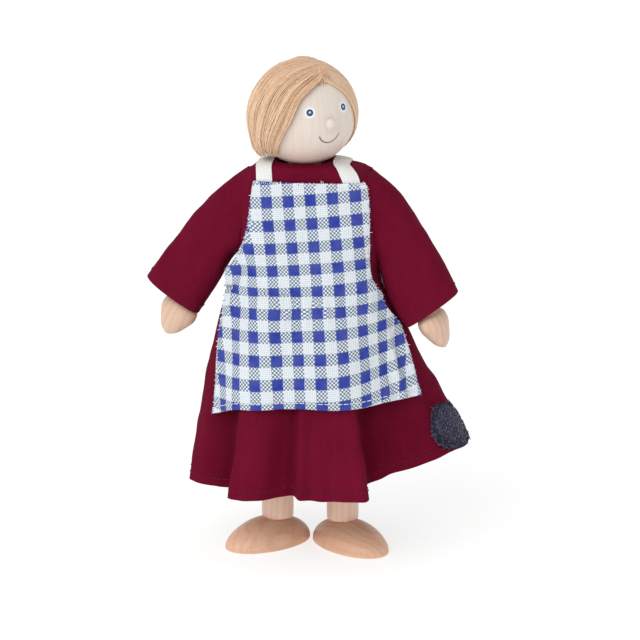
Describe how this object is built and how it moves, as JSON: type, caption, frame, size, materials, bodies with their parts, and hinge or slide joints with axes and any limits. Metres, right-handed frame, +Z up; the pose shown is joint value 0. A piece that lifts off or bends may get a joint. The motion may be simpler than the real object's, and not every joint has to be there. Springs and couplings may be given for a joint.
{
  "type": "wooden miniature doll",
  "caption": "Dolls' house figure of turned wood: ball head with yarn hair, dowel limbs on pivots, round feet, in a wide-sleeved dress with a checked bib apron.",
  "frame": {"origin": "on the floor, in the middle of the doll's outline seen from above", "axes": "+Z up, the doll faces -Y and its left hand is towards +X"},
  "size_m": [0.0786, 0.052, 0.1238],
  "materials": {
    "pale_wood": "fine sanded, satin varnish",
    "tan_wood": "fine sanded, satin varnish",
    "yarn": "combed wool",
    "dress_cloth": "matt woven cotton",
    "gingham": "open woven check",
    "white_tape": "woven tape",
    "navy_knit": "knitted wool"
  },
  "bodies": {
    "torso": {"torso": "pale_wood", "neck_dowel": "pale_wood", "left_shoulder_peg": "pale_wood", "right_shoulder_peg": "pale_wood", "dress_bodice": "dress_cloth", "apron": "gingham", "apron_neck_strap": "white_tape", "apron_waist_tape": "white_tape", "apron_bow": "white_tape"},
    "head": {"head_ball": "pale_wood", "nose_peg": "pale_wood", "yarn_hair": "yarn"},
    "left_arm": {"left_arm": "pale_wood", "left_sleeve": "dress_cloth"},
    "left_hand": {"left_hand": "tan_wood"},
    "right_arm": {"right_arm": "pale_wood", "right_sleeve": "dress_cloth"},
    "right_hand": {"right_hand": "tan_wood"},
    "hips": {"hip_dowel": "pale_wood", "dress_skirt": "dress_cloth", "hem_patch": "navy_knit"},
    "left_leg": {"left_leg": "pale_wood"},
    "left_foot": {"left_foot": "tan_wood"},
    "right_leg": {"right_leg": "pale_wood"},
    "right_foot": {"right_foot": "tan_wood"}
  },
  "joints": [
    {"name": "neck_turn", "type": "hinge", "parent": "torso", "child": "head", "pos_m": [-0.00134, -0.00002, 0.1095], "axis": [0, 0, 1], "range_deg": [-126, 54]},
    {"name": "left_shoulder", "type": "hinge", "parent": "torso", "child": "left_arm", "pos_m": [0.01536, -0.00002, 0.0892], "axis": [-1, 0, 0], "range_deg": [-35, 90], "deforming": ["left_sleeve", "dress_bodice"]},
    {"name": "right_shoulder", "type": "hinge", "parent": "torso", "child": "right_arm", "pos_m": [-0.01544, -0.00002, 0.0892], "axis": [-1, 0, 0], "range_deg": [-35, 90], "deforming": ["right_sleeve", "dress_bodice"]},
    {"name": "left_wrist", "type": "hinge", "parent": "left_arm", "child": "left_hand", "pos_m": [0.02926, -0.00002, 0.06071], "axis": [-0.4384, 0, 0.8988], "range_deg": [-90, 90]},
    {"name": "right_wrist", "type": "hinge", "parent": "right_arm", "child": "right_hand", "pos_m": [-0.03129, -0.00002, 0.06175], "axis": [0.5, 0, 0.866], "range_deg": [-90, 90]},
    {"name": "hip_sit", "type": "hinge", "parent": "torso", "child": "hips", "pos_m": [-0.00004, -0.00002, 0.055], "axis": [-1, 0, 0], "range_deg": [-10, 75], "deforming": ["dress_skirt", "apron", "apron_bow"]},
    {"name": "left_stride", "type": "hinge", "parent": "hips", "child": "left_leg", "pos_m": [0.00816, -0.00002, 0.055], "axis": [-1, 0, 0], "range_deg": [-15, 15]},
    {"name": "right_stride", "type": "hinge", "parent": "hips", "child": "right_leg", "pos_m": [-0.00824, -0.00002, 0.055], "axis": [-1, 0, 0], "range_deg": [-15, 15]},
    {"name": "left_ankle", "type": "hinge", "parent": "left_leg", "child": "left_foot", "pos_m": [0.00816, -0.00002, 0], "axis": [0, 0, -1], "range_deg": [0, 60]},
    {"name": "right_ankle", "type": "hinge", "parent": "right_leg", "child": "right_foot", "pos_m": [-0.00824, -0.00002, 0], "axis": [0, 0, 1], "range_deg": [0, 60]}
  ]
}
